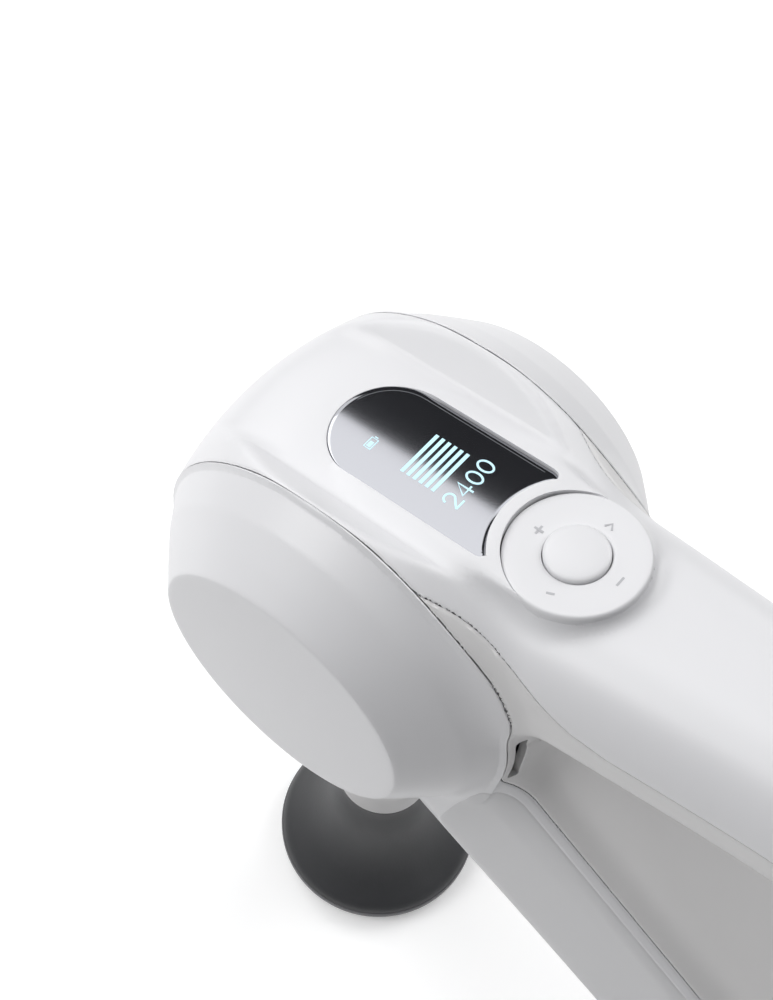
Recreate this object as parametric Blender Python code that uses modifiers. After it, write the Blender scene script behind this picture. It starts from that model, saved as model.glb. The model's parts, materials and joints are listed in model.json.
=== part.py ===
"""A handheld percussion massage gun with a round motor drum and a three-bar handle.

Everything is worked out in the drum's own frame: X runs back along the top bar, Y along the
drum's axis and Z up from the display land. The drum frame leans back so that the plunger stands
straight up and the massage face lies flat on the ground. Sizes are in millimetres, and are
scaled to metres where a mesh is made.
"""

import math

import bmesh
import bpy
from mathutils import Matrix, Vector

MM = 0.001
GAP = 0.3                     # clearance between pieces that touch
WALL = 2.4                    # housing wall thickness
OVER = 30.0                   # how far a cutter runs past what it cuts

# Drum: a barrel crown between two flared side covers
CROWN_RADIUS = 43.2
CROWN_ARC = 72.3              # radius of the crown's bulge across its width
SEAM_Y = 21.6
FACE_Y = 37.0
FACE_RADIUS = 25.4
DRUM_STEPS = 48

# Display land, a flat valley cut into the crown and carried back onto the top bar
LAND_Z = 34.3
LAND_HALF_WIDTH = 12.2
VALLEY_HALF_WIDTH = 15.5
VALLEY_RISE = 10.6
VALLEY_RUN = 11.5
PAD_X = 37.3
PAD_RADIUS = 12.15
PAD_THICKNESS = 2.2
PAD_FLOOR_Z = 31.5
BUTTON_RADIUS = 5.5
GLASS_HALF_WIDTH = 10.7
GLASS_NOSE_X = -13.0
GLASS_ARC_RADIUS = 14.8
GLASS_THICKNESS = 1.3

# Handle: three bars round a triangular opening
BAR_RADIUS = 15.2             # half the bar's depth, seen from the side
BAR_HALF_WIDTH = 17.6
BAR_ROUND = 13.0
BAR_AXIS_Z = 15.8
BAR_END_X = 189.0
ARM_ANGLE = math.radians(-39.7)
ARM_OFFSET = -11.6            # arm centreline to the drum's centre
ARM_START = 10.0
ARM_END = 230.0
ARM_START_RADIUS = 26.1
ARM_END_RADIUS = 21.0
ARM_HALF_WIDTH = 19.6
ARM_ROUND = 9.0
OPENING_CORNER = 9.0
SEAM_Z = 16.5                 # parting line on the bars' sides
ARM_SEAM_DEPTH = 3.1          # parting line along the arm, below its inner face
ARM_STRIP_HALF = 10.0         # half width of the housing strip along the arm
COVER_START_U = 24.0
COVER_END_U = 208.0
GRIP_START_U = 62.0
GRIP_END_U = 178.0
GRIP_EDGE = 3.0
GRIP_DEPTH = 1.2

# Plunger and attachment, along the plunger's axis down from the drum's centre
LEAN = math.radians(8.2)
STANCE = 150.0                # drum centre above the massage face
STROKE = 16.0
THROW = STROKE / 2
ROD_LENGTH = 38.0
SHAFT_RADIUS = 6.0
SLEEVE_RADIUS = 14.0
SLEEVE_TOP = 44.5
SLEEVE_END = 109.7
COLLAR_RADIUS = 11.0
NOSE_END = 60.0
HEAD_RADIUS = 25.0

# Motor, along the drum's axis
MOTOR_RADIUS = 21.0
MOTOR_FRONT = 14.9
MOTOR_BACK = 33.6
MOTOR_SHAFT_RADIUS = 2.4
CRANK_FRONT = 5.0
CRANK_BACK = 11.0

CELL_RADIUS = 9.1
CELL_LENGTH = 65.0

WHITE = (0.86, 0.86, 0.87)
PALE = (0.78, 0.78, 0.79)
GREY = (0.62, 0.62, 0.64)
DARK = (0.035, 0.036, 0.04)
BLACK = (0.01, 0.011, 0.014)
STEEL = (0.55, 0.56, 0.58)
ALUMINIUM = (0.72, 0.73, 0.75)
BRASS = (0.72, 0.55, 0.25)
COPPER = (0.72, 0.40, 0.22)
GREEN = (0.05, 0.22, 0.12)
BLUE = (0.10, 0.22, 0.45)

ARM_ALONG = Vector((math.cos(ARM_ANGLE), math.sin(ARM_ANGLE)))
ARM_NORMAL = Vector((-math.sin(ARM_ANGLE), math.cos(ARM_ANGLE)))   # towards the opening

for old in list(bpy.data.objects):
    bpy.data.objects.remove(old, do_unlink=True)

PARTS = bpy.data.collections.new("massage_gun")
CUTTERS = bpy.data.collections.new("cutters")
bpy.context.scene.collection.children.link(PARTS)
bpy.context.scene.collection.children.link(CUTTERS)


def empty(name, location, rotation=(0.0, 0.0, 0.0), parent=None):
    """An empty at a place given in millimetres in its parent's frame."""
    marker = bpy.data.objects.new(name, None)
    marker.location = Vector(location) * MM
    marker.rotation_euler = rotation
    marker.parent = parent
    PARTS.objects.link(marker)
    return marker


def material(name, color, roughness, metallic):
    """A plain finish for one piece."""
    made = bpy.data.materials.new(name)
    made.use_nodes = True
    shader = made.node_tree.nodes["Principled BSDF"]
    shader.inputs["Base Color"].default_value = (*color, 1.0)
    shader.inputs["Roughness"].default_value = roughness
    shader.inputs["Metallic"].default_value = metallic
    return made


def place(name, mesh, parent, color, roughness=0.45, metallic=0.0, smooth=35.0):
    """A finished piece in the parts collection, riding on an empty."""
    piece = bpy.data.objects.new(name, mesh)
    PARTS.objects.link(piece)
    piece.parent = parent
    mesh.materials.clear()
    mesh.materials.append(material(name, color, roughness, metallic))
    mesh.shade_smooth()
    mesh.set_sharp_from_angle(angle=math.radians(smooth))
    return piece


def tool(name, mesh, parent):
    """A cutter or a construction solid, left out of the model."""
    piece = bpy.data.objects.new(name, mesh)
    CUTTERS.objects.link(piece)
    piece.parent = parent
    piece.hide_render = True
    piece.display_type = "WIRE"
    return piece


def combine(piece, operation, *others):
    """Exact booleans of a piece with cutters, in order."""
    for other in others:
        step = piece.modifiers.new(other.name, "BOOLEAN")
        step.operation = operation
        step.solver = "EXACT"
        step.object = other
    return piece


def evaluated_mesh(source, name):
    """A plain mesh of an object as its modifiers leave it, in the object's own frame."""
    bpy.context.view_layer.update()
    graph = bpy.context.evaluated_depsgraph_get()
    made = bpy.data.meshes.new_from_object(source.evaluated_get(graph))
    made.name = name
    return made


def turned(name, profile, steps=32, closed=False, along="Z"):
    """A solid of revolution. The profile is (radius, height) pairs, top to bottom outside."""
    mesh = bpy.data.meshes.new(name)
    points = [(r * MM, 0.0, h * MM) for r, h in profile]
    edges = [(i, i + 1) for i in range(len(points) - 1)]
    if closed:
        edges.append((len(points) - 1, 0))
    mesh.from_pydata(points, edges, [])
    source = bpy.data.objects.new(name, mesh)
    CUTTERS.objects.link(source)
    screw = source.modifiers.new("turn", "SCREW")
    screw.steps = steps
    screw.render_steps = steps
    screw.use_merge_vertices = True
    screw.merge_threshold = 0.00001
    made = evaluated_mesh(source, name)
    bpy.data.objects.remove(source, do_unlink=True)
    if along == "Y":
        made.transform(Matrix.Rotation(math.radians(-90), 4, "X"))
    return made


def outline_solid(name, outlines, low, high, rounding=0.0, plane="XZ", resolution=3):
    """A flat outline pushed along Y between low and high, or along Z for plane XY."""
    curve = bpy.data.curves.new(name, "CURVE")
    curve.dimensions = "2D"
    curve.fill_mode = "BOTH"
    curve.extrude = ((high - low) / 2 - rounding) * MM
    curve.bevel_depth = rounding * MM
    curve.bevel_resolution = resolution
    for outline in outlines:
        spline = curve.splines.new("POLY")
        spline.points.add(len(outline) - 1)
        for point, (across, up) in zip(spline.points, outline):
            point.co = (across * MM, up * MM, 0.0, 1.0)
        spline.use_cyclic_u = True
    source = bpy.data.objects.new(name, curve)
    CUTTERS.objects.link(source)
    made = evaluated_mesh(source, name)
    bpy.data.objects.remove(source, do_unlink=True)
    weld(made)
    middle = (low + high) / 2 * MM
    if plane == "XZ":
        made.transform(Matrix.Rotation(math.radians(90), 4, "X"))
        made.transform(Matrix.Translation((0.0, middle, 0.0)))
    else:
        made.transform(Matrix.Translation((0.0, 0.0, middle)))
    return made


def weld(mesh, distance=0.000002):
    """Joins the loose caps that a curve leaves, and slivers left by a boolean."""
    work = bmesh.new()
    work.from_mesh(mesh)
    bmesh.ops.remove_doubles(work, verts=work.verts, dist=distance)
    bmesh.ops.dissolve_degenerate(work, edges=work.edges, dist=distance)
    bmesh.ops.recalc_face_normals(work, faces=work.faces)
    work.to_mesh(mesh)
    work.free()


def box(name, low, high):
    """A box between two corners."""
    x0, y0, z0 = low
    x1, y1, z1 = high
    outline = [(x0, z0), (x1, z0), (x1, z1), (x0, z1)]
    return outline_solid(name, [outline], y0, y1)


def arc(centre, radius, start, end, steps):
    """Points on an arc, angles in degrees."""
    angles = [math.radians(start + (end - start) * i / steps) for i in range(steps + 1)]
    return [(centre[0] + radius * math.cos(a), centre[1] + radius * math.sin(a)) for a in angles]


def circle(centre, radius, steps=24):
    """Points on a full circle."""
    return arc(centre, radius, 2.7, 362.7, steps)[:-1]


def stadium(first, second, first_radius, second_radius, steps=10):
    """The outline round two circles and their outer tangents."""
    run = Vector(second) - Vector(first)
    heading = math.degrees(math.atan2(run.y, run.x))
    flare = math.degrees(math.asin((first_radius - second_radius) / run.length))
    side = 90 - flare
    far_end = arc(second, second_radius, heading - side, heading + side, steps)
    near_end = arc(first, first_radius, heading + side, heading + 360 - side, steps)
    return far_end + near_end


def arm_point(along, offset):
    """A point in the side view, along the arm and across it from the drum's centre."""
    spot = ARM_ALONG * along + ARM_NORMAL * offset
    return (spot.x, spot.y)


def arm_depth(along):
    """Half the arm's depth at a place along it."""
    share = (along - ARM_START) / (ARM_END - ARM_START)
    return ARM_START_RADIUS + (ARM_END_RADIUS - ARM_START_RADIUS) * share


def crown_radius(y):
    """The crown's radius at a place across its width."""
    return CROWN_RADIUS - CROWN_ARC + math.sqrt(CROWN_ARC ** 2 - y ** 2)


def drum_profile(inset):
    """Half the drum's section as (radius, y) from the middle out to the face's edge."""
    crown = [(crown_radius(SEAM_Y * i / 3), SEAM_Y * i / 3) for i in range(4)]
    cover = [(35.3, 27.7), (31.1, 32.3), (27.2, 36.4), (FACE_RADIUS, FACE_Y)]
    section = crown + cover
    return [(r - inset, min(y, FACE_Y - inset)) for r, y in section]


def drum_solid(name, inset):
    """The whole drum as one turned solid."""
    half = drum_profile(inset)
    if inset:
        half = half[:-1]
    face = half[-1][1]
    upper = [(0.0, face)] + list(reversed(half))
    lower = [(r, -y) for r, y in half[1:]] + [(0.0, -face)]
    return turned(name, upper + lower, DRUM_STEPS, along="Y")


BAR_FRONT = (8.0, BAR_AXIS_Z)
BAR_REAR = (BAR_END_X, BAR_AXIS_Z)
ARM_TOP = arm_point(ARM_START, ARM_OFFSET)
ARM_FOOT = arm_point(ARM_END, ARM_OFFSET)


def tangent(first, second, first_radius, second_radius):
    """The left-hand tangent of two circles as (point, direction)."""
    run = Vector(second) - Vector(first)
    turn = math.asin((first_radius - second_radius) / run.length)
    way = run.normalized()
    side = Vector((-way.y, way.x))
    out = side * math.cos(turn) + way * math.sin(turn)
    return Vector(first) + out * first_radius, Vector((out.y, -out.x))


def crossing(first, second):
    """Where two (point, direction) lines meet."""
    spot, way = first
    other, heading = second
    cross = way.x * heading.y - way.y * heading.x
    gap = other - spot
    return spot + way * ((gap.x * heading.y - gap.y * heading.x) / cross)


def rounded(lines, radii, steps=6):
    """A closed outline along lines, with each corner between neighbours rounded."""
    points = []
    for number, radius in enumerate(radii):
        before, after = lines[number - 1], lines[number]
        corner = crossing(before, after)
        arrive, leave = before[1], after[1]
        bend = arrive.angle_signed(leave)
        reach = radius * math.tan(abs(bend) / 2)
        inward = Vector((arrive.y, -arrive.x)) * (1 if bend > 0 else -1)
        centre = corner - arrive * reach + inward * radius
        start = math.atan2(-inward.y, -inward.x)
        for i in range(steps + 1):
            angle = start - bend * i / steps
            points.append((centre.x + radius * math.cos(angle),
                           centre.y + radius * math.sin(angle)))
    return points


def handle_ring(name, inset):
    """The handle as one ring: an outer line and the opening, with rounded long edges."""
    slim = 0.8
    core = BAR_RADIUS - BAR_ROUND
    foot = ARM_END_RADIUS - slim - BAR_ROUND
    head = ARM_START_RADIUS - slim - BAR_ROUND
    circles = [(BAR_FRONT, core), (BAR_REAR, core), (ARM_FOOT, foot), (ARM_TOP, head)]
    outer = []
    for number in range(4):
        (here, radius), (there, other) = circles[number], circles[(number + 1) % 4]
        outer.append(tangent(here, there, radius, other))
    inner = []
    for number in range(3):
        (here, radius), (there, other) = circles[number], circles[number + 1]
        spot, way = tangent(there, here, other, radius)
        inner.append((spot, -way))
    outside = rounded(outer, [core, core, foot, head])
    corner = OPENING_CORNER + BAR_ROUND
    hole = rounded(inner, [BAR_ROUND + 2.0, corner, corner])
    reach = BAR_HALF_WIDTH - inset
    return outline_solid(name, [outside, hole], -reach, reach, BAR_ROUND - inset)


def arm_solid(name, inset):
    """The boxier arm that overlies the ring's lower bar."""
    radii = (ARM_START_RADIUS - ARM_ROUND, ARM_END_RADIUS - ARM_ROUND)
    outline = stadium(ARM_TOP, ARM_FOOT, *radii)
    reach = ARM_HALF_WIDTH - inset
    return outline_solid(name, [outline], -reach, reach, ARM_ROUND - inset)


def valley(name, drop):
    """The cutter that opens the flat land in the crown, lowered by drop for the hollow."""
    low = LAND_Z - drop
    section = [(-VALLEY_HALF_WIDTH, low), (VALLEY_HALF_WIDTH, low),
               (VALLEY_HALF_WIDTH + VALLEY_RUN, low + VALLEY_RISE),
               (VALLEY_HALF_WIDTH + VALLEY_RUN, low + OVER),
               (-VALLEY_HALF_WIDTH - VALLEY_RUN, low + OVER),
               (-VALLEY_HALF_WIDTH - VALLEY_RUN, low + VALLEY_RISE)]
    mesh = outline_solid(name, [section], -60.0, 60.0)
    mesh.transform(Matrix.Rotation(math.radians(90), 4, "Z"))
    return mesh


def glass_outline(grow):
    """The display window: a round nose, straight sides and a hollow arc round the pad."""
    half = GLASS_HALF_WIDTH + grow
    nose = arc((GLASS_NOSE_X + GLASS_HALF_WIDTH, 0.0), half, 270, 90, 12)
    radius = GLASS_ARC_RADIUS - grow
    spread = math.degrees(math.asin((half - 0.6) / radius))
    hollow = arc((PAD_X, 0.0), radius, 180 - spread, 180 + spread, 10)
    corner = hollow[0][0]
    return nose + [(corner - 0.7, half)] + hollow + [(corner - 0.7, -half)]


def arm_seam(along, shift):
    """A point on the arm's parting line, shifted towards the opening."""
    return arm_point(along, ARM_OFFSET + arm_depth(along) - ARM_SEAM_DEPTH + shift)


def opening_region(name, inset):
    """The prism whose inside belongs to the inner frame, round the opening."""
    heading = (Vector(ARM_FOOT) - Vector(BAR_REAR)).normalized()
    out = Vector((-heading.y, heading.x))
    rear = (Vector(BAR_REAR) + out * (2.5 - inset), heading)
    top = SEAM_Z - inset
    arm_start = Vector(arm_seam(28.0, inset))
    arm_line = (arm_start, Vector(arm_seam(200.0, inset)) - arm_start)
    outline = [
        (20.0, top + 5.0),
        (29.5 + inset, 27.6 - inset),
        (33.5 + inset, 27.6 - inset),
        (47.0, top),
        tuple(crossing((Vector((0.0, top)), Vector((1.0, 0.0))), rear)),
        tuple(crossing(arm_line, rear)),
        tuple(arm_start),
        (16.0, -6.0),
    ]
    return outline_solid(name, [outline], -OVER, OVER)


def arm_side_region(name, side, inset):
    """The part of the arm that belongs to one side cover."""
    start, end = COVER_START_U + inset, COVER_END_U - inset
    outline = [arm_seam(start, -inset), arm_point(start + 13.0, -18.0),
               arm_point(start + 27.0, -38.0), arm_point(start + 27.0, -70.0),
               arm_point(end, -70.0), arm_seam(end, -inset)]
    near = ARM_STRIP_HALF + inset
    low, high = (near, 60.0) if side > 0 else (-60.0, -near)
    return outline_solid(name, [outline], low, high)


# Frames: the housing leans back, the plunger stands upright
FRONT_X = -CROWN_RADIUS
FOOT_X = ARM_FOOT[0] * math.cos(LEAN) - ARM_FOOT[1] * math.sin(LEAN)
REAR_X = FOOT_X + ARM_END_RADIUS
DRUM_X = -(FRONT_X + REAR_X) / 2
HOUSING = empty("drum_frame", (DRUM_X, 0.0, STANCE), (0.0, -LEAN, 0.0))
PLUNGER = empty("plunger_frame", (DRUM_X, 0.0, STANCE))


# Construction solids for the housing: the whole outside, and the hollow
def build_shell():
    """The housing as one hollow shell, before it is parted into pieces."""
    outside = tool("outside", drum_solid("outside", 0.0), HOUSING)
    bars = [tool("outside_ring", handle_ring("outside_ring", 0.0), HOUSING),
            tool("outside_arm", arm_solid("outside_arm", 0.0), HOUSING)]
    land = outline_solid("land", [stadium((4.0, 0.0), (PAD_X, 0.0), LAND_HALF_WIDTH,
                                          LAND_HALF_WIDTH)], 20.0, LAND_Z + 3, plane="XY")
    combine(outside, "UNION", *bars, tool("land", land, HOUSING))
    combine(outside, "DIFFERENCE", tool("valley", valley("valley", 0.0), HOUSING))
    nose = turned("nose", [(0.0, -20.0), (19.5, -20.0), (19.0, -NOSE_END + 4.0),
                           (17.6, -NOSE_END), (0.0, -NOSE_END)], 40)
    combine(outside, "UNION", tool("nose", nose, PLUNGER))

    hollow = tool("hollow", drum_solid("hollow", WALL), HOUSING)
    combine(hollow, "DIFFERENCE", tool("hollow_valley", valley("hollow_valley", 4.6), HOUSING))
    inner = [tool("hollow_ring", handle_ring("hollow_ring", WALL), HOUSING),
             tool("hollow_arm", arm_solid("hollow_arm", WALL), HOUSING)]
    under = outline_solid("under_land", [stadium((12.0, 0.0), (PAD_X, 0.0),
                                                 LAND_HALF_WIDTH - WALL,
                                                 LAND_HALF_WIDTH - WALL)],
                          10.0, PAD_FLOOR_Z - 1.6, plane="XY")
    combine(hollow, "UNION", *inner, tool("under_land", under, HOUSING))
    bore = turned("nose_bore", [(0.0, -30.0), (SLEEVE_RADIUS + 0.6, -30.0),
                                (SLEEVE_RADIUS + 0.6, -NOSE_END + 3.4),
                                (SLEEVE_RADIUS + 2.0, -NOSE_END + 3.4),
                                (SLEEVE_RADIUS + 2.0, -NOSE_END + 0.8),
                                (SLEEVE_RADIUS + 0.6, -NOSE_END + 0.8),
                                (SLEEVE_RADIUS + 0.6, -NOSE_END - 5.0),
                                (0.0, -NOSE_END - 5.0)], 36)
    bore.transform(Matrix.Rotation(math.radians(3.3), 4, "Z"))
    combine(outside, "DIFFERENCE", hollow, tool("nose_bore", bore, PLUNGER), grip_recess(),
            *housing_cutters())
    shell = evaluated_mesh(outside, "shell")
    weld(shell, 0.00001)
    return tool("shell", shell, HOUSING)


def housing_cutters():
    """Everything that is cut into the outer housing from outside."""
    pocket = outline_solid("glass_pocket", [glass_outline(GAP)], LAND_Z - GLASS_THICKNESS - GAP,
                           LAND_Z + 5, plane="XY")
    window = outline_solid("window", [[(-6.0, -7.5), (18.0, -7.5), (18.0, 7.5), (-6.0, 7.5)]],
                           25.0, LAND_Z, plane="XY")
    seat = outline_solid("pad_seat", [circle((PAD_X, 0.0), PAD_RADIUS + GAP, 40)],
                         PAD_FLOOR_Z, LAND_Z + 5, plane="XY")
    hub = outline_solid("hub_hole", [circle((PAD_X, 0.0), 8.8)], 20.0, LAND_Z, plane="XY")
    foot = box("foot", (0, -60, -STANCE - OVER), (300, 60, -STANCE))
    socket = box("socket_hole", (176, -4.9, -104.4), (240, 4.9, -99.6))
    tools = [tool(m.name, m, HOUSING) for m in (pocket, window, seat, hub, socket)]
    return tools + [tool("foot", foot, PLUNGER)]


def grip_sleeve(name, outer_inset, inner_inset, u_shift):
    """A wrap round the arm's outer and side faces, between two depths below its surface."""
    wrap = tool(name, arm_solid(name, outer_inset), HOUSING)
    core = tool(f"{name}_core", arm_solid(f"{name}_core", inner_inset), HOUSING)
    start, end, edge = GRIP_START_U - u_shift, GRIP_END_U + u_shift, GRIP_EDGE + u_shift
    window = [arm_point(start + 14, edge), arm_point(start, edge - 14), arm_point(start, -60),
              arm_point(end, -60), arm_point(end, edge - 14), arm_point(end - 14, edge)]
    region = outline_solid(f"{name}_zone", [window], -OVER, OVER)
    combine(wrap, "DIFFERENCE", core)
    return combine(wrap, "INTERSECT", tool(f"{name}_zone", region, HOUSING))


def grip_recess():
    """The shallow recess that the overlay lies in."""
    sleeve = grip_sleeve("recess", -3.0, GRIP_DEPTH + GAP, GAP)
    return tool("grip_recess", evaluated_mesh(sleeve, "grip_recess"), HOUSING)


def build_housing():
    """Outer housing, inner frame and the two side covers, parted from one shell."""
    shell = build_shell().data
    outer = place("outer_housing", shell.copy(), HOUSING, WHITE)
    inner = place("inner_frame", shell.copy(), HOUSING, PALE)
    frame_zone = tool("frame_zone", opening_region("frame_zone", -GAP / 2), HOUSING)
    frame_keep = tool("frame_keep", opening_region("frame_keep", GAP / 2), HOUSING)
    reach = SEAM_Y - GAP / 2
    band = box("middle_band", (-80, -reach, -250), (280, reach, 90))
    middle = tool("middle_band", band, HOUSING)
    combine(outer, "INTERSECT", middle)
    combine(outer, "DIFFERENCE", frame_zone)
    combine(inner, "INTERSECT", middle, frame_keep)
    for name, side in (("left_side_cover", -1), ("right_side_cover", 1)):
        zone = tool(f"{name}_zone", arm_side_region(f"{name}_zone", side, -GAP / 2), HOUSING)
        combine(outer, "DIFFERENCE", zone)
        slot = tool(f"{name}_vent", vent_sector(f"{name}_vent", side, 36.0, 54.0, 0.0), HOUSING)
        combine(inner, "DIFFERENCE", slot)
        cover = place(name, shell.copy(), HOUSING, WHITE)
        near = SEAM_Y + GAP / 2
        low, high = (near, 90) if side > 0 else (-90, -near)
        keep = tool(f"{name}_cap", box(f"{name}_cap", (-80, low, -80), (81, high, 82)), HOUSING)
        arm = tool(f"{name}_arm", arm_side_region(f"{name}_arm", side, GAP / 2), HOUSING)
        combine(keep, "UNION", arm)
        combine(cover, "INTERSECT", keep)


def vent_sector(name, side, inner_radius, outer_radius, grow):
    """A curved bar in the drum's rear wall, next to the side cover's seam."""
    points = arc((0, 0), outer_radius, -19 - grow, 3 + grow, 8)
    points += arc((0, 0), inner_radius, 3 + grow, -19 - grow, 8)
    low, high = 17.9 - grow / 2, 19.9 + grow / 2
    if side < 0:
        low, high = -high, -low
    return outline_solid(name, [points], low, high)


def build_grip():
    """The overlay on the arm."""
    grip = evaluated_mesh(grip_sleeve("grip", 0.0, GRIP_DEPTH, 0.0), "front_arm_grip")
    place("front_arm_grip", grip, HOUSING, GREY, 0.6)


def build_display():
    """Cover glass, panel and board under the land."""
    top = LAND_Z + 0.1
    glass = outline_solid("display_glass", [glass_outline(0.0)], top - GLASS_THICKNESS, top,
                          plane="XY")
    place("display_glass", glass, HOUSING, BLACK, 0.08)
    panel = box("display_panel", (-5.5, -7.0, 30.2), (17.5, 7.0, 32.4))
    place("display_panel", panel, HOUSING, BLACK, 0.3)
    board = box("display_board", (-8.0, -9.0, 28.2), (19.5, 9.0, 29.4))
    place("display_board", board, HOUSING, GREEN, 0.5)


def build_controls():
    """The rocking pad, the centre button and the switches under them."""
    base = PAD_FLOOR_Z + 0.6
    top = base + PAD_THICKNESS
    pad_frame = empty("control_pad_pivot", (PAD_X, 0.0, base), parent=HOUSING)
    disc = [(BUTTON_RADIUS + 0.4, top - 0.7 - base), (9.0, top - 0.9 - base),
            (PAD_RADIUS - 1.0, top - base), (PAD_RADIUS - 0.3, top - base),
            (PAD_RADIUS, top - 0.4 - base), (PAD_RADIUS, 0.0), (7.9, 0.0), (7.9, -2.4),
            (BUTTON_RADIUS + 0.4, -2.4)]
    place("control_pad", turned("control_pad", disc, 40, closed=True), pad_frame, WHITE, 0.5)

    button_frame = empty("centre_button_guide", (PAD_X, 0.0, base), parent=HOUSING)
    dome = [(0.0, 2.9), (2.2, 2.75), (4.0, 2.3), (5.1, 1.6), (BUTTON_RADIUS, 0.9),
            (BUTTON_RADIUS, -0.6), (1.9, -0.6), (1.9, -4.6), (0.0, -4.6)]
    place("centre_button", turned("centre_button", dome, 32), button_frame, WHITE, 0.5)

    sheet = [(2.4, -2.7), (8.3, -2.7), (8.3, -3.7), (2.4, -3.7)]
    membrane = turned("keypad_membrane", sheet, 24, closed=True)
    place("keypad_membrane", membrane, pad_frame, GREY, 0.8)
    board = outline_solid("keypad_board", [circle((PAD_X, 0.0), 9.6)], base - 7.2, base - 6.2,
                          plane="XY")
    place("keypad_board", board, HOUSING, GREEN, 0.5)
    switch = outline_solid("centre_switch", [circle((PAD_X, 0.0), 2.2, 16)], base - 6.0,
                           base - 5.3, plane="XY")
    place("centre_switch", switch, HOUSING, STEEL, 0.3, 1.0)
    for number, (dx, dy) in enumerate(((-6, 0), (6, 0), (0, -6), (0, 6)), 1):
        name = f"pad_switch_{number}"
        dome = outline_solid(name, [circle((PAD_X + dx, dy), 1.6, 12)], base - 6.0, base - 4.9,
                             plane="XY")
        place(name, dome, HOUSING, STEEL, 0.3, 1.0)


def ring(name, inner, outer, low, high, steps=32, along="Y"):
    """A plain turned ring."""
    profile = [(inner, high), (outer, high), (outer, low), (inner, low)]
    return turned(name, profile, steps, closed=True, along=along)


def rod_disc(name, radius, low, high, steps=24, along="Y"):
    """A plain turned rod."""
    profile = [(0.0, high), (radius, high), (radius, low), (0.0, low)]
    return turned(name, profile, steps, along=along)


def build_motor():
    """The motor and its mount, along the drum's axis on the right-hand side."""
    flat = math.degrees(math.asin(29.2 / 36.4))
    edge = arc((0, 0), 36.4, 180 - flat, 360 + flat, 32)
    plate = outline_solid("motor_mount", [edge, circle((0, 0), 7.0)], MOTOR_FRONT - 2.4,
                          MOTOR_FRONT - GAP)
    place("motor_mount", plate, HOUSING, ALUMINIUM, 0.4, 1.0)
    inner = MOTOR_RADIUS - 1.6
    can = turned("motor_can", [(4.6, MOTOR_BACK), (MOTOR_RADIUS, MOTOR_BACK),
                               (MOTOR_RADIUS, MOTOR_FRONT), (inner, MOTOR_FRONT),
                               (inner, MOTOR_BACK - 1.8), (4.6, MOTOR_BACK - 1.8)],
                 40, closed=True, along="Y")
    place("motor_can", can, HOUSING, STEEL, 0.35, 1.0)
    bell = ring("motor_end_bell", 5.9, inner - GAP, MOTOR_FRONT, MOTOR_FRONT + 2.2)
    place("motor_end_bell", bell, HOUSING, ALUMINIUM, 0.4, 1.0)
    stator = ring("motor_stator", 11.4, inner - GAP, MOTOR_FRONT + 3.6, MOTOR_BACK - 3.4)
    place("motor_stator", stator, HOUSING, COPPER, 0.4, 1.0)
    bearing = ring("front_bearing", MOTOR_SHAFT_RADIUS + 0.1, 5.6, MOTOR_FRONT,
                   MOTOR_FRONT + 2.2, 24)
    place("front_bearing", bearing, HOUSING, STEEL, 0.25, 1.0)
    bearing = ring("rear_bearing", MOTOR_SHAFT_RADIUS + 0.1, 4.3, MOTOR_BACK - 1.8,
                   MOTOR_BACK, 24)
    place("rear_bearing", bearing, HOUSING, STEEL, 0.25, 1.0)
    for number in range(3):
        angle = math.radians(30 + 120 * number)
        name = f"motor_screw_{number + 1}"
        screw = turned(name, [(0.0, MOTOR_FRONT - 2.7), (1.2, MOTOR_FRONT - 2.7),
                              (2.4, MOTOR_FRONT - 2.7), (2.4, MOTOR_FRONT - 4.2),
                              (0.0, MOTOR_FRONT - 4.2)], 12, along="Y")
        screw.transform(Matrix.Translation((29.5 * MM * math.cos(angle), 0.0,
                                            29.5 * MM * math.sin(angle))))
        place(name, screw, HOUSING, STEEL, 0.3, 1.0)


def build_crank():
    """Shaft, magnet ring, crank web with its counterweight, and the pin's stub."""
    crank_frame = empty("crank_axis", (0.0, 0.0, 0.0), parent=PLUNGER)
    shaft = rod_disc("motor_shaft", MOTOR_SHAFT_RADIUS, CRANK_FRONT, MOTOR_BACK - 0.4)
    place("motor_shaft", shaft, crank_frame, STEEL, 0.25, 1.0)
    magnets = ring("magnet_ring", MOTOR_SHAFT_RADIUS + GAP, 10.7, MOTOR_FRONT + 4.2,
                   MOTOR_BACK - 4.0)
    place("magnet_ring", magnets, crank_frame, DARK, 0.4)
    weight = [(x, z) for x, z in arc((0, 0), 21.5, 200, 340, 14)]
    outline = weight + arc((0, THROW), 7.5, 30, 150, 8)
    holes = [circle((0, 0), MOTOR_SHAFT_RADIUS + 0.1, 20), circle((0, THROW), 4.1, 20)]
    web = outline_solid("crank_web", [outline] + holes, CRANK_FRONT, CRANK_BACK)
    place("crank_web", web, crank_frame, STEEL, 0.35, 1.0)
    pin = rod_disc("crank_pin", 4.0, 3.5, CRANK_BACK)
    pin.transform(Matrix.Translation((0.0, 0.0, THROW * MM)))
    place("crank_pin", pin, crank_frame, STEEL, 0.2, 1.0)


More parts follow.
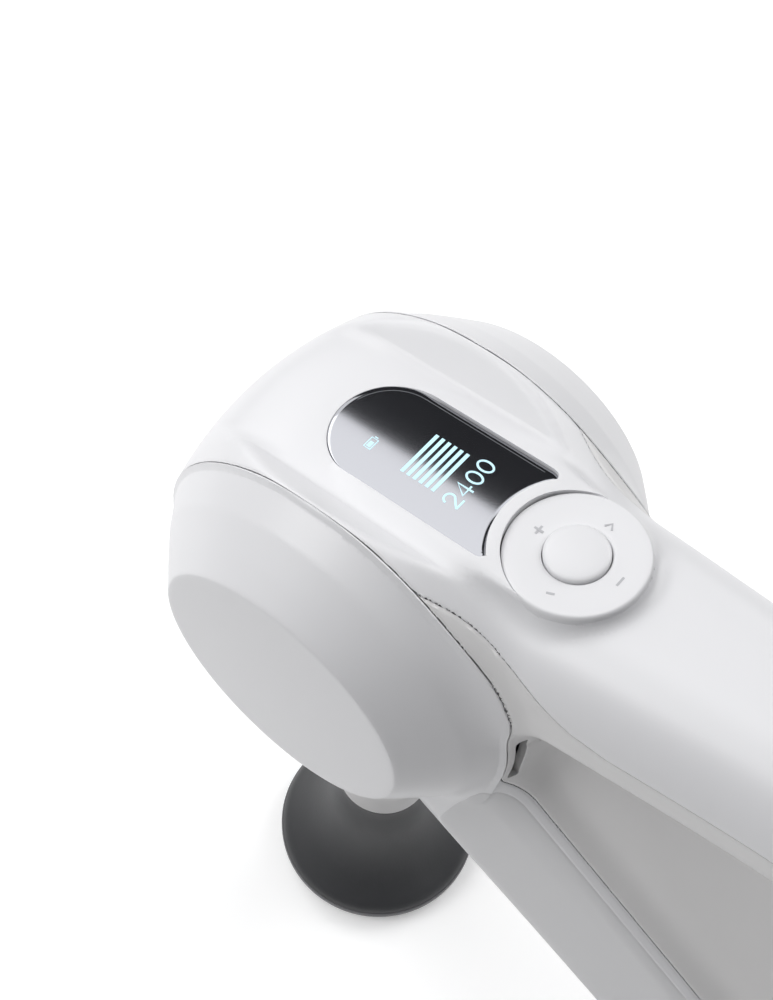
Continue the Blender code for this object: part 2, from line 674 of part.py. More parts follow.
def build_rod():
    """Connecting rod, its big-end bearing and the wrist pin it swings on."""
    small = THROW - ROD_LENGTH
    wrist = empty("wrist_axis", (0.0, 0.0, small), parent=PLUNGER)
    height = ROD_LENGTH
    side = arc((0, height), 9.0, -60, 240, 20)
    foot = arc((0, 0), 5.2, 130, 410, 16)
    holes = [circle((0, height), 6.5, 24), circle((0, 0), 2.7, 20)]
    body = outline_solid("connecting_rod", [side + foot] + holes, -3.0, 3.0)
    place("connecting_rod", body, wrist, ALUMINIUM, 0.35, 1.0)
    bearing = ring("rod_bearing", 4.3, 6.3, -2.9, 2.9)
    bearing.transform(Matrix.Translation((0.0, 0.0, height * MM)))
    place("rod_bearing", bearing, wrist, STEEL, 0.25, 1.0)
    pin = rod_disc("wrist_pin", 2.5, -5.6, 5.6, 20)
    pin.transform(Matrix.Translation((0.0, 0.0, small * MM)))
    place("wrist_pin", pin, PLUNGER, STEEL, 0.2, 1.0)


def build_plunger():
    """The sliding shaft with its clevis and sleeve, and the fixed guide round it."""
    wrist = THROW - ROD_LENGTH
    top = wrist + 6.0
    shaft = rod_disc("plunger_shaft", SHAFT_RADIUS, -86.0, top, 28, along="Z")
    piece = place("plunger_shaft", shaft, PLUNGER, STEEL, 0.2, 1.0)
    slot = tool("clevis_slot", box("clevis_slot", (-20, -3.4, wrist - 6.4), (20, 3.4, top + 5)),
                PLUNGER)
    eye = rod_disc("clevis_eye", 2.6, -20.0, 20.0, 20)
    eye.transform(Matrix.Translation((0.0, 0.0, wrist * MM)))
    combine(piece, "DIFFERENCE", slot, tool("clevis_eye", eye, PLUNGER))
    sleeve = turned("plunger_sleeve", [
        (10.9, -SLEEVE_TOP), (SLEEVE_RADIUS, -SLEEVE_TOP), (SLEEVE_RADIUS, -93.0),
        (COLLAR_RADIUS + 0.6, -96.5), (COLLAR_RADIUS, -98.5), (COLLAR_RADIUS, -SLEEVE_END),
        (8.6, -SLEEVE_END), (8.6, -88.0), (6.2, -88.0), (6.2, -84.6), (10.9, -84.6)],
        36, closed=True)
    place("plunger_sleeve", sleeve, PLUNGER, PALE, 0.45)
    bushing = ring("linear_bushing", SHAFT_RADIUS + 0.1, 8.3, -66.0, -46.0, along="Z")
    place("linear_bushing", bushing, PLUNGER, BRASS, 0.35, 1.0)
    guide = turned("guide_sleeve", [
        (8.5, -35.0), (12.2, -35.0), (12.2, -37.0), (10.5, -37.0), (10.5, -68.0),
        (8.5, -68.0)], 28, closed=True)
    place("guide_sleeve", guide, PLUNGER, ALUMINIUM, 0.4, 1.0)
    end = ring("nose_ring", SLEEVE_RADIUS + 0.7, 17.2, -NOSE_END - 2.4, -NOSE_END - GAP, 36,
               along="Z")
    place("nose_ring", end, PLUNGER, PALE, 0.4)
    seal = ring("shaft_seal", SLEEVE_RADIUS + 0.1, SLEEVE_RADIUS + 1.7, -NOSE_END + 1.1,
                -NOSE_END + 3.1, 40, along="Z")
    place("shaft_seal", seal, PLUNGER, DARK, 0.7)


def build_attachment():
    """The push-in stem and the soft round head."""
    stem = turned("attachment_stem", [
        (0.0, -88.4), (7.4, -88.4), (8.3, -89.6), (8.3, -136.0), (14.0, -136.0),
        (14.0, -139.0), (0.0, -139.0)], 32)
    place("attachment_stem", stem, PLUNGER, DARK, 0.5)
    head = turned("attachment_head", [
        (0.0, -139.3), (14.3, -139.3), (14.3, -135.7), (8.8, -135.7), (8.8, -110.0),
        (10.9, -110.0), (10.9, -118.0), (11.5, -124.0), (13.3, -130.0), (17.2, -136.0),
        (22.0, -141.0), (24.6, -143.2), (HEAD_RADIUS, -144.6), (HEAD_RADIUS, -146.6),
        (24.2, -148.8), (22.4, -STANCE), (0.0, -STANCE)], 44)
    place("attachment_head", head, PLUNGER, DARK, 0.8)


def build_electrics():
    """Battery cells and their cradle, the main board and the charging socket."""
    for number in range(2):
        start = 60.0 + number * (CELL_LENGTH + 0.6)
        name = f"battery_cell_{number + 1}"
        cell = rod_disc(name, CELL_RADIUS, 0.0, CELL_LENGTH, 28, along="Z")
        cell.transform(Matrix.Rotation(math.radians(90), 4, "Y"))
        cell.transform(Matrix.Translation((start * MM, 0.0, BAR_AXIS_Z * MM)))
        place(name, cell, HOUSING, BLUE, 0.5)
    trough = [(-8.2, 8.0), (-8.2, 4.8), (8.2, 4.8), (8.2, 8.0)]
    trough += arc((0, BAR_AXIS_Z), CELL_RADIUS + 0.4, -55, -125, 8)
    cradle = outline_solid("battery_cradle", [trough], -188.0, -62.0)
    cradle.transform(Matrix.Rotation(math.radians(90), 4, "Z"))
    place("battery_cradle", cradle, HOUSING, DARK, 0.6)

    board = box("main_board", (60.0, -14.0, -0.8), (150.0, 14.0, 0.8))
    lie = Matrix.Rotation(-ARM_ANGLE, 4, "Y")
    board.transform(lie)
    centre = arm_point(0.0, ARM_OFFSET)
    board.transform(Matrix.Translation((centre[0] * MM, 0.0, centre[1] * MM)))
    place("main_board", board, HOUSING, GREEN, 0.5)

    outer = outline_solid("charging_socket", [[(-4.5, -1.7), (4.5, -1.7), (4.5, 1.7),
                                               (-4.5, 1.7)],
                                              [(-4.0, -1.2), (4.0, -1.2), (4.0, 1.2),
                                               (-4.0, 1.2)]], 0.0, 7.0, plane="XY")
    outer.transform(Matrix.Rotation(math.radians(90), 4, "Z"))
    outer.transform(Matrix.Rotation(math.radians(90), 4, "Y"))
    outer.transform(Matrix.Translation((185.0 * MM, 0.0, -102.0 * MM)))
    place("charging_socket", outer, HOUSING, STEEL, 0.3, 1.0)


def build_vents():
    """Curved grille bars behind the vent slots."""
    for name, side in (("vent_grille_left", -1), ("vent_grille_right", 1)):
        grille = vent_sector(name, side, 35.8, 37.3, 1.0)
        place(name, grille, HOUSING, DARK, 0.6)


build_housing()
build_grip()
build_display()
build_controls()
build_motor()
build_crank()
build_rod()
build_plunger()
build_attachment()
build_electrics()
build_vents()
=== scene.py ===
"""How the massage gun looks: its outer skin is built as one distance field, parted along its
seams, and dressed in moulded plastic, soft overlay and a lit display.

Shapes are worked out in the drum frame in millimetres: X back along the top bar, Y along the
drum's axis, Z up from the display. to_row() carries them into the row frame in metres.
"""

import json
import math

import bmesh
import bpy
import numpy as np
from mathutils import Matrix, Vector


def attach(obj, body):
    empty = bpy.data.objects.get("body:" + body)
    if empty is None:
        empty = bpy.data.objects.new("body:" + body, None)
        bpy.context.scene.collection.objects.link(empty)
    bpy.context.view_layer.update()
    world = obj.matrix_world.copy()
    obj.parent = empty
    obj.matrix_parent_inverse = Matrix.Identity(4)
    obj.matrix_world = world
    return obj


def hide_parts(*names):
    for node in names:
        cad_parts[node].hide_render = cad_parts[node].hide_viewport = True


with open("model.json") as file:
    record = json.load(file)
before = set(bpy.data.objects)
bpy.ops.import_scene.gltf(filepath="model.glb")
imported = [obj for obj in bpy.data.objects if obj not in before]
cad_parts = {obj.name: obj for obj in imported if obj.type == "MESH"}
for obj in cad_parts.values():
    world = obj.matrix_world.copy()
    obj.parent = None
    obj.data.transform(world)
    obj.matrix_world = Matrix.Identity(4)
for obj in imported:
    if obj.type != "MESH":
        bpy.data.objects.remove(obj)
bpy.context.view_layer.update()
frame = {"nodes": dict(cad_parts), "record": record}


LEAN = math.radians(8.2)
COS, SIN = math.cos(LEAN), math.sin(LEAN)
DRUM_X, DRUM_Z = -0.083924, 0.150
DOWN = np.array((-SIN, 0.0, -COS))      # the plunger's axis in the drum frame
PITCH = 0.8      # spacing of the field's samples

CROWN_RADIUS, CROWN_ARC, SEAM_Y = 43.2, 72.3, 21.6
# Half width across the drum against the cap's radius there, from the seam out to the face.
CAP = ((SEAM_Y, 39.9), (21.9, 39.9), (22.6, 38.75), (27.7, 35.2), (32.4, 31.0), (37.0, 26.7))
CAP_SLOPE = 0.74                        # turns the cap's radial distance into distance to its wall
FACE_Y, FACE_ARC = 37.2, 700.0          # a cap's slightly domed face
LAND_Z, LAND_HALF, LAND_RISE = 34.3, 15.5, 0.912
PAD = np.array((37.3, 0.0))
PLATFORM_START, PLATFORM_HALF, PLATFORM_EDGE = 4.0, 12.25, 0.9
BAR_Z, BAR_START, BAR_RADIUS, BAR_END = 15.8, 8.0, 15.2, 189.0
BAR_SWELL = (22.0, 95.0)                # the bar is fuller from the drum back to here
ARM_ANGLE = math.radians(-39.7)
ALONG = np.array((math.cos(ARM_ANGLE), math.sin(ARM_ANGLE)))
ACROSS = np.array((-math.sin(ARM_ANGLE), math.cos(ARM_ANGLE)))
ARM_OFFSET, ARM_SPAN, ARM_RADII = -11.6, (10.0, 230.0), (26.1, 21.0)
SEAM_DEPTH = 3.1                        # from the arm's inner edge to its seam
NOSE_RADIUS, NOSE_END, STANCE = 19.5, 60.0, 150.0
VENT_RADIUS, VENT_ANGLE, VENT_TURN, VENT_Y = 39.5, -8.0, 11.0, 18.9
PORT_Z, PORT_HALF = -102.0, (4.7, 2.2)
WALL, OVERLAY_WALL = 1.8, 1.2
# The block of space that holds the whole skin.
SKIN_LOW, SKIN_HIGH = (-46.0, -39.6, -180.0), (211.0, 40.4, 46.0)
GAP = 0.10                              # half of a seam's width
BEVEL = 0.45                            # how far a seam's softened edge reaches
EDGE_DROP = 0.13                        # how deep the softened edge sinks at the seam
OVERLAY_EASE, TOP_EASE = 0.15, 0.22     # edges that are softened less


def to_row(points):
    """Drum-frame millimetres to row-frame metres."""
    p = np.asarray(points, float).reshape(-1, 3)
    x = (p[:, 0] * COS - p[:, 2] * SIN) / 1000 + DRUM_X
    z = (p[:, 0] * SIN + p[:, 2] * COS) / 1000 + DRUM_Z
    return np.stack((x, p[:, 1] / 1000, z), 1)


def direction(vector):
    """A drum-frame direction in the row frame."""
    x, y, z = vector
    return Vector((x * COS - z * SIN, y, x * SIN + z * COS))


# ---------------------------------------------------------------- distance fields
def smin(a, b, k):
    """The lesser of two fields, blended over k."""
    h = np.maximum(k - np.abs(a - b), 0.0) / k
    return np.minimum(a, b) - h * h * k * 0.25


def smax(a, b, k):
    """The greater of two fields, blended over k."""
    return -smin(-a, -b, k)


def rounded(a, b, rounding):
    """Where two fields overlap, with the edge between them rounded off."""
    a, b = a + rounding, b + rounding
    inside = np.minimum(np.maximum(a, b), 0.0)
    return inside + np.hypot(np.maximum(a, 0.0), np.maximum(b, 0.0)) - rounding


def step(value, low, high):
    """A smooth rise from 0 at low to 1 at high."""
    t = np.clip((value - low) / (high - low), 0.0, 1.0)
    return t * t * (3 - 2 * t)


def arm_place(along, offset):
    """A point given along and across the lower arm."""
    return ALONG * along + ACROSS * offset


def capsule(x, z, first, second, first_radius, second_radius):
    """A 2-D capsule whose radius changes along it."""
    run = second - first
    length = math.hypot(*run)
    way = run / length
    dx, dz = x - first[0], z - first[1]
    u = dx * way[0] + dz * way[1]
    v = np.abs(dx * way[1] - dz * way[0])
    slope = (first_radius - second_radius) / length
    lean = math.sqrt(1 - slope * slope)
    at = np.clip((u + v * slope / lean) / length, 0.0, 1.0)
    reach = np.hypot(u - at * length, v)
    return reach - (first_radius + (second_radius - first_radius) * at)


def cap_face(r, w):
    """Distance to the slightly domed faces that end the drum."""
    return np.hypot(r, w + FACE_ARC - FACE_Y) - FACE_ARC


def drum(x, y, z):
    """The barrel crown between two flared caps."""
    r, w = np.hypot(x, z), np.abs(y)
    bulge = np.sqrt(CROWN_ARC ** 2 - np.minimum(w, SEAM_Y) ** 2)
    rows = np.array(CAP)
    limit = np.where(w < SEAM_Y, bulge - CROWN_ARC + CROWN_RADIUS,
                     np.interp(w, rows[:, 0], rows[:, 1]))
    slope = np.interp(w, (SEAM_Y, 22.6, 24.0), (0.954, 0.66, CAP_SLOPE))
    cap = (r - limit) * np.where(w < SEAM_Y, bulge / CROWN_ARC, slope)
    return smax(cap, cap_face(r, w), 0.35)


def handle(x, y, z):
    """Three bars round the opening, and the boxier arm over the lower one."""
    bar_front, bar_rear = np.array((BAR_START, BAR_Z)), np.array((BAR_END, BAR_Z))
    head, foot = arm_place(ARM_SPAN[0], ARM_OFFSET), arm_place(ARM_SPAN[1], ARM_OFFSET)
    top = capsule(x, z, bar_front, bar_rear, BAR_RADIUS, BAR_RADIUS)
    rear = capsule(x, z, bar_rear, foot, BAR_RADIUS, ARM_RADII[1] - 0.8)
    low = capsule(x, z, head, foot, ARM_RADII[0] - 0.8, ARM_RADII[1] - 0.8)
    ring = smin(smin(top, rear, 12.0), low, 17.0)
    swell = 1 - step(x, *BAR_SWELL)
    ring = rounded(ring, np.abs(y) - (17.6 + 3.4 * swell), 13.0)
    # The top bar's two lower edges are cut to slanting flats.
    under = np.abs(y) * 0.69 - z * 0.72 - 5.3 - 2.3 * swell
    under = np.where(z > -1.0, under - 20.0 * step(x, 150.0, 172.0), -9.0)
    ring = smax(ring, under, 0.5)
    arm = rounded(capsule(x, z, head, foot, *ARM_RADII), np.abs(y) - 19.6, 9.0)
    return ring, arm


def plunger_place(x, y, z):
    """Distance down the plunger's axis, and away from it."""
    s = x * DOWN[0] + z * DOWN[2]
    return s, np.hypot(x - s * DOWN[0], np.hypot(y, z - s * DOWN[2]))


def body(p):
    """The housing's outer skin."""
    x, y, z = p[:, 0], p[:, 1], p[:, 2]
    w = np.abs(y)
    ring, arm = handle(x, y, z)
    shape = smin(drum(x, y, z), smin(ring, arm, 1.5), 7.0)
    # The land is flat in the middle and rises to the crown at both sides.
    land = LAND_Z + np.maximum(w - LAND_HALF, 0.0) * LAND_RISE
    crease = 1.2 + 5.0 * (1 - step(w, 13.0, 18.0)) * (1 - step(x, -12.0, 14.0))
    shape = smax(shape, (z - land) * 0.80, crease)
    # A platform with round ends carries the display and the pad.
    stadium = np.hypot(x - np.clip(x, PLATFORM_START, PAD[0]), y) - PLATFORM_HALF
    prism = np.maximum(rounded(stadium, z - LAND_Z, PLATFORM_EDGE), 20.0 - z)
    shape = smin(shape, prism, 3.2)
    s, away = plunger_place(x, y, z)
    nose_radius = NOSE_RADIUS - 0.5 * np.clip((s - 20) / 36, 0, 1)
    nose = smax(away - nose_radius, s - NOSE_END, 2.4)
    nose = np.maximum(nose, 8.0 - s)
    shape = smin(shape, nose, 5.0)
    return smax(shape, s - STANCE, 1.6)


def gradient(p):
    """The field's slope at each point."""
    e = 0.03
    g = np.empty_like(p)
    for axis in range(3):
        shift = np.zeros(3)
        shift[axis] = e
        g[:, axis] = body(p + shift) - body(p - shift)
    return g / (2 * e)


def outward(p):
    """The skin's unit normals."""
    g = gradient(p)
    return g / np.maximum(np.linalg.norm(g, axis=1), 1e-6)[:, None]


def settle(p, rounds):
    """Moves points onto the skin."""
    for _ in range(rounds):
        g = gradient(p)
        p = p - g * (body(p) / np.maximum((g * g).sum(1), 0.3))[:, None]
    return p


def surface(low, high, pitch):
    """A closed triangle mesh of the skin, by surface nets."""
    axes = [np.arange(a, b, pitch) for a, b in zip(low, high)]
    shape = [len(a) for a in axes]
    field = np.empty(shape, np.float32)
    yy, zz = np.meshgrid(axes[1], axes[2], indexing="ij")
    for i, x in enumerate(axes[0]):
        p = np.stack((np.full(yy.size, x), yy.ravel(), zz.ravel()), 1)
        field[i] = body(p).reshape(yy.shape)
    inside = field < 0
    corners = [(i, j, k) for i in (0, 1) for j in (0, 1) for k in (0, 1)]
    count = sum(inside[i:shape[0] - 1 + i, j:shape[1] - 1 + j, k:shape[2] - 1 + k].astype(np.int8)
                for i, j, k in corners)
    cells = np.argwhere((count > 0) & (count < 8))
    number = np.full(count.shape, -1, np.int64)
    number[tuple(cells.T)] = np.arange(len(cells))
    total, hits = np.zeros((len(cells), 3)), np.zeros(len(cells))
    for a in corners:
        for axis in range(3):
            if a[axis]:
                continue
            b = tuple(1 if n == axis else v for n, v in enumerate(a))
            va = field[tuple((cells + a).T)]
            vb = field[tuple((cells + b).T)]
            cross = (va < 0) != (vb < 0)
            t = np.where(cross, va / np.where(cross, va - vb, 1.0), 0.0)
            spot = np.array(a, float)[None, :].repeat(len(cells), 0)
            spot[:, axis] = t
            total += np.where(cross[:, None], spot, 0.0)
            hits += cross
    vertices = np.array(low) + (cells + total / hits[:, None]) * pitch
    quads = []
    for axis in range(3):
        u, v = (axis + 1) % 3, (axis + 2) % 3
        here = inside[tuple(slice(0, -1) if n == axis else slice(None) for n in range(3))]
        there = inside[tuple(slice(1, None) if n == axis else slice(None) for n in range(3))]
        edges = np.argwhere(here != there)
        edges = edges[(edges[:, u] > 0) & (edges[:, v] > 0)
                      & (edges[:, u] < shape[u] - 1) & (edges[:, v] < shape[v] - 1)]
        du, dv = np.eye(3, dtype=int)[u], np.eye(3, dtype=int)[v]
        ring = [number[tuple((edges - a).T)] for a in (du + dv, dv, np.zeros(3, int), du)]
        quad = np.stack(ring, 1)
        out = here[tuple(edges.T)]
        quads.append(np.where(out[:, None], quad, quad[:, ::-1]))
    quads = np.concatenate(quads)
    triangles = np.concatenate((quads[:, [0, 1, 2]], quads[:, [0, 2, 3]]))
    return settle(vertices, 4), triangles


# ---------------------------------------------------------------- seams
def polygon(x, y, corners):
    """Signed distance to a polygon, positive inside."""
    corners = np.asarray(corners, float)
    nearest = np.full(x.shape, 1e9)
    inside = np.zeros(x.shape, bool)
    for a, b in zip(corners, np.roll(corners, -1, 0)):
        run = b - a
        t = np.clip(((x - a[0]) * run[0] + (y - a[1]) * run[1]) / (run @ run), 0.0, 1.0)
        nearest = np.minimum(nearest, np.hypot(x - a[0] - t * run[0], y - a[1] - t * run[1]))
        if a[1] != b[1]:
            crosses = (a[1] > y) != (b[1] > y)
            inside ^= crosses & (x < a[0] + (y - a[1]) * run[0] / run[1])
    return np.where(inside, nearest, -nearest)


def arm_depth(u):
    """The lower arm's radius at a place along it."""
    share = (u - ARM_SPAN[0]) / (ARM_SPAN[1] - ARM_SPAN[0])
    return ARM_RADII[0] + (ARM_RADII[1] - ARM_RADII[0]) * share


def seam_place(u):
    """A point on the seam between the lower arm and the inner frame."""
    return arm_place(u, ARM_OFFSET + arm_depth(u) - SEAM_DEPTH)


def arm_coordinates(p):
    """Places along and across the lower arm."""
    return (p[:, 0] * ALONG[0] + p[:, 2] * ALONG[1], p[:, 0] * ACROSS[0] + p[:, 2] * ACROSS[1])


FOOT = arm_place(ARM_SPAN[1], ARM_OFFSET)
ARM_ZONE = [seam_place(24), arm_place(30, -10), arm_place(33, -17), arm_place(52, -40),
            arm_place(52, -70), arm_place(208, -70), seam_place(208)]
REAR_LINE = 2.5 * np.array((FOOT[1] - BAR_Z, BAR_END - FOOT[0])) / math.hypot(
    FOOT[1] - BAR_Z, BAR_END - FOOT[0])
REAR_TOP = np.array((BAR_END, BAR_Z)) - REAR_LINE
REAR_LOW = FOOT - REAR_LINE
OPENING = [(17.0, 30.0), (19.5, 34.6), (33.0, 27.5), (45.0, 21.0), (51.0, 18.0), (58.0, 16.5),
           (REAR_TOP[0], 16.5), REAR_LOW, seam_place(200), seam_place(28), (16.0, -6.0)]


def cover_field(p):
    """Positive on a side cover."""
    arm = polygon(p[:, 0], p[:, 2], ARM_ZONE)
    return smax(np.abs(p[:, 1]) - SEAM_Y, np.minimum(arm, np.abs(p[:, 1]) - 10.0), 7.0)


def frame_region(p):
    """Positive on the inner frame, round the opening."""
    flat = polygon(p[:, 0], p[:, 2], OPENING)
    inner = 13.6 + 4.4 * (1 - step(p[:, 0], 25.0, 31.0))
    return np.where(p[:, 2] > 22.0, np.minimum(flat, np.abs(p[:, 1]) - inner), flat)


def steady(field, p):
    """A field as distance along the skin, so that a seam keeps one width."""
    g, across = outward(p), np.empty_like(p)
    for axis in range(3):
        shift = np.zeros(3)
        shift[axis] = 0.25
        across[:, axis] = (field(p + shift) - field(p - shift)) / 0.5
    across -= g * (across * g).sum(1)[:, None]
    return field(p) / np.clip(np.linalg.norm(across, axis=1), 0.3, 1.2)


def frame_field(p):
    """Distance along the skin into the inner frame."""
    return steady(frame_region, p)


def rim_field(p):
    """Zero along the edge between a cap's flared wall and its face."""
    x, y, z = p[:, 0], p[:, 1], p[:, 2]
    r, w = np.hypot(x, z), np.abs(y)
    rows = np.array(CAP)
    wall = (r - np.interp(w, rows[:, 0], rows[:, 1])) * CAP_SLOPE
    return np.where(w > 30.0, wall - cap_face(r, w), 9.0)


# The overlay's outline, along and across the lower arm.
GRIP_ZONE = [(40.6, 8.9), (38.9, 7.2), (39.6, 3.0), (42.0, -4.5), (46.6, -19.0), (48.4, -24.0),
             (50.6, -27.0), (54.0, -28.8), (62.0, -31.0), (66.0, -34.0), (67.0, -38.0),
             (67.0, -60.0), (183.0, -60.0), (183.0, -36.0), (184.6, -31.0), (189.0, -27.0),
             (194.0, -18.0), (196.0, -8.0), (196.0, 0.0), (194.5, 4.4), (190.0, 5.9)]


def grip_field(p):
    """Positive on the soft overlay along the arm."""
    u, v = arm_coordinates(p)
    return polygon(u, v, GRIP_ZONE)


GLASS_FRONT, GLASS_HALF, GLASS_HOLLOW = -13.0, 10.7, 14.8


def glass_line(grow, steps=14):
    """The display window: a round nose, straight sides and a hollow arc round the pad."""
    half = GLASS_HALF + grow
    turn = np.radians(np.linspace(270, 90, 2 * steps))
    nose = np.stack((GLASS_FRONT + GLASS_HALF + half * np.cos(turn), half * np.sin(turn)), 1)
    radius = GLASS_HOLLOW - grow
    spread = math.asin((half - 1.1) / radius)
    turn = np.linspace(math.pi - spread, math.pi + spread, 2 * steps)
    hollow = np.stack((PAD[0] + radius * np.cos(turn), radius * np.sin(turn)), 1)
    tip = hollow[0][0]
    upper = [(tip - 1.5, half), (tip - 0.75, half - 0.12), (tip - 0.2, half - 0.5)]
    lower = [(a, -b) for a, b in reversed(upper)]
    return np.concatenate((nose, upper, hollow, lower))


GLASS_POCKET, WELL_RADIUS, TOP_DEPTH = glass_line(0.03), 12.30, 31.0


def top_field(p):
    """Positive in the display's pocket and the pad's well."""
    glass = polygon(p[:, 0], p[:, 1], GLASS_POCKET)
    well = WELL_RADIUS - np.hypot(p[:, 0] - PAD[0], p[:, 1])
    return np.minimum(np.maximum(glass, well), p[:, 2] - TOP_DEPTH)


def hole_field(p):
    """Positive in the vents, the nose's bore and the charging socket."""
    x, y, z = p[:, 0], p[:, 1], p[:, 2]
    angle = np.degrees(np.arctan2(z, x))
    r = np.hypot(x, z)
    turn = (np.abs(angle - VENT_ANGLE) - VENT_TURN) * math.pi / 180 * VENT_RADIUS
    vent = -rounded(turn, np.abs(np.abs(y) - VENT_Y) - 1.0, 0.7)
    vent = np.where((r > 34) & (r < 54), vent, -9.0)
    s, away = plunger_place(x, y, z)
    bore = np.where((s > 52) & (s < 62), 14.6 - away, -9.0)
    port = -rounded(np.abs(y) - PORT_HALF[0], np.abs(z - PORT_Z) - PORT_HALF[1], 1.2)
    port = np.where(x > 178, port, -9.0)
    return np.maximum(np.maximum(vent, bore), port)


def cut(vertices, triangles, field, level=0.0):
    """Splits triangles along a field's level line."""
    value = field(vertices) - level
    value = np.where(np.abs(value) < 0.02, 0.0, value)
    up = value >= 0
    count = up[triangles].sum(1)
    done = (count == 0) | (count == 3)
    rest = triangles[~done]
    if not len(rest):
        return vertices, triangles
    flags = up[rest]
    lone = np.where(flags.sum(1) == 1, flags.argmax(1), (~flags).argmax(1))
    row = np.arange(len(rest))
    a, b, c = rest[row, lone], rest[row, (lone + 1) % 3], rest[row, (lone + 2) % 3]
    pairs = np.concatenate((np.stack((a, b), 1), np.stack((a, c), 1)))
    pairs.sort(1)
    keys, index = np.unique(pairs[:, 0] * len(vertices) + pairs[:, 1], return_inverse=True)
    index = index.reshape(-1)
    first, second = keys // len(vertices), keys % len(vertices)
    t = value[first] / np.where(value[first] == value[second], 1.0, value[first] - value[second])
    t = np.clip(t, 0.0, 1.0)[:, None]
    fresh = settle(vertices[first] * (1 - t) + vertices[second] * t, 1)
    p, q = index[:len(rest)] + len(vertices), index[len(rest):] + len(vertices)
    made = np.concatenate((np.stack((a, p, q), 1), np.stack((p, b, c), 1),
                           np.stack((p, c, q), 1)))
    return np.concatenate((vertices, fresh)), np.concatenate((triangles[done], made))


# ---------------------------------------------------------------- meshes and objects
SMOOTH = 32.0                           # edges that turn further than this stay sharp


def linked(name, mesh, smooth=SMOOTH):
    """Shades a mesh smooth and puts it in the scene."""
    mesh.shade_smooth()
    mesh.set_sharp_from_angle(angle=math.radians(smooth))
    made = bpy.data.objects.new(name, mesh)
    bpy.context.scene.collection.objects.link(made)
    return made


def make_mesh(name, points, triangles):
    """A mesh object from drum-frame points and triangles."""
    mesh = bpy.data.meshes.new(name)
    mesh.vertices.add(len(points))
    mesh.vertices.foreach_set("co", to_row(points).astype(np.float32).ravel())
    mesh.loops.add(triangles.size)
    mesh.loops.foreach_set("vertex_index", triangles.astype(np.int32).ravel())
    mesh.polygons.add(len(triangles))
    mesh.polygons.foreach_set("loop_start", np.arange(0, triangles.size, 3, dtype=np.int32))
    mesh.update(calc_edges=True)
    mesh.validate()
    return linked(name, mesh)


def shell_piece(name, vertices, normals, triangles, depth):
    """Part of the skin as a solid plate: the skin, an inner face and the rim between."""
    used, flat = np.unique(triangles, return_inverse=True)
    tri = flat.reshape(-1, 3)
    outer, inner = vertices[used], vertices[used] - normals[used] * depth
    n = len(used)
    edges = np.concatenate((tri[:, [0, 1]], tri[:, [1, 2]], tri[:, [2, 0]]))
    key = np.sort(edges, 1)
    code = key[:, 0] * n + key[:, 1]
    _, index, count = np.unique(code, return_index=True, return_counts=True)
    rim = edges[index[count == 1]]
    a, b = rim[:, 0], rim[:, 1]
    wall = np.concatenate((np.stack((b, a, a + n), 1), np.stack((b, a + n, b + n), 1)))
    faces = np.concatenate((tri, tri[:, ::-1] + n, wall))
    return make_mesh(name, np.concatenate((outer, inner)), faces)


def loops_mesh(name, loops, filled=True, smooth=SMOOTH):
    """A solid skinned over loops of equal length, from the bottom up, its ends filled or joined."""
    count = len(loops[0])
    made = bpy.data.meshes.new(name)
    faces = []
    for i in range(len(loops) - 1):
        for j in range(count):
            k = (j + 1) % count
            faces.append((i * count + j, i * count + k, (i + 1) * count + k, (i + 1) * count + j))
    if filled:
        faces.append(tuple(reversed(range(count))))
        faces.append(tuple((len(loops) - 1) * count + j for j in range(count)))
    made.from_pydata([tuple(p) for p in to_row(np.concatenate(loops))], [], faces)
    made.validate()
    made.update()
    lift = bmesh.new()
    lift.from_mesh(made)
    bmesh.ops.recalc_face_normals(lift, faces=lift.faces[:])
    lift.to_mesh(made)
    lift.free()
    return linked(name, made, smooth)


def turned(name, profile, steps=128, axis="plunger", closed=False, shape=None):
    """A turned solid. The profile is (radius, distance down the plunger) or (radius, z)."""
    angle = np.linspace(0, 2 * math.pi, steps, endpoint=False)
    side = np.cross(DOWN, (0.0, 1.0, 0.0))
    loops = []
    for radius, along in profile:
        r = max(radius, 0.0005)
        if axis == "plunger":
            ring = (DOWN * along)[None, :] + r * (np.cos(angle)[:, None] * side
                                                  + np.sin(angle)[:, None] * (0.0, 1.0, 0.0))
        else:
            # The disc reaches a hair further towards the display.
            swell = 1 - 0.002 * np.cos(angle) * (r > 11) * (np.cos(angle) < 0)
            ring = np.stack((PAD[0] + r * swell * np.cos(angle), r * swell * np.sin(angle),
                             np.full(steps, along)), 1)
            if shape is not None:
                ring[:, 2] = shape(ring[:, 0], ring[:, 1], r, along)
        loops.append(ring)
    if closed:
        loops.append(loops[0])
    return loops_mesh(name, loops, filled=not closed)


def smooth_line(points, rounds=2):
    """A profile with its corners cut, for softer turned shapes."""
    points = [np.array(p, float) for p in points]
    for _ in range(rounds):
        made = [points[0]]
        for a, b in zip(points, points[1:]):
            made += [a * 0.75 + b * 0.25, a * 0.25 + b * 0.75]
        points = made + [points[-1]]
    return [tuple(p) for p in points]


def strip(name, line, width, low, high):
    """A raised mark on the top: a band of given width along a line in x and y."""
    line = np.array(line, float)
    ahead = np.concatenate((line[1:], [2 * line[-1] - line[-2]]))
    behind = np.concatenate(([2 * line[0] - line[1]], line[:-1]))
    run = ahead - behind
    run /= np.hypot(run[:, 0], run[:, 1])[:, None]
    out = np.stack((-run[:, 1], run[:, 0]), 1) * width / 2
    line[0] -= run[0] * width * 0.2
    line[-1] += run[-1] * width * 0.2
    left, right = line + out, line - out
    rings = [np.column_stack((edge, np.full(len(edge), height)))
             for edge, height in ((left, low), (left, high), (right, high), (right, low))]
    return loops_mesh(name, list(np.stack(rings, 1)))


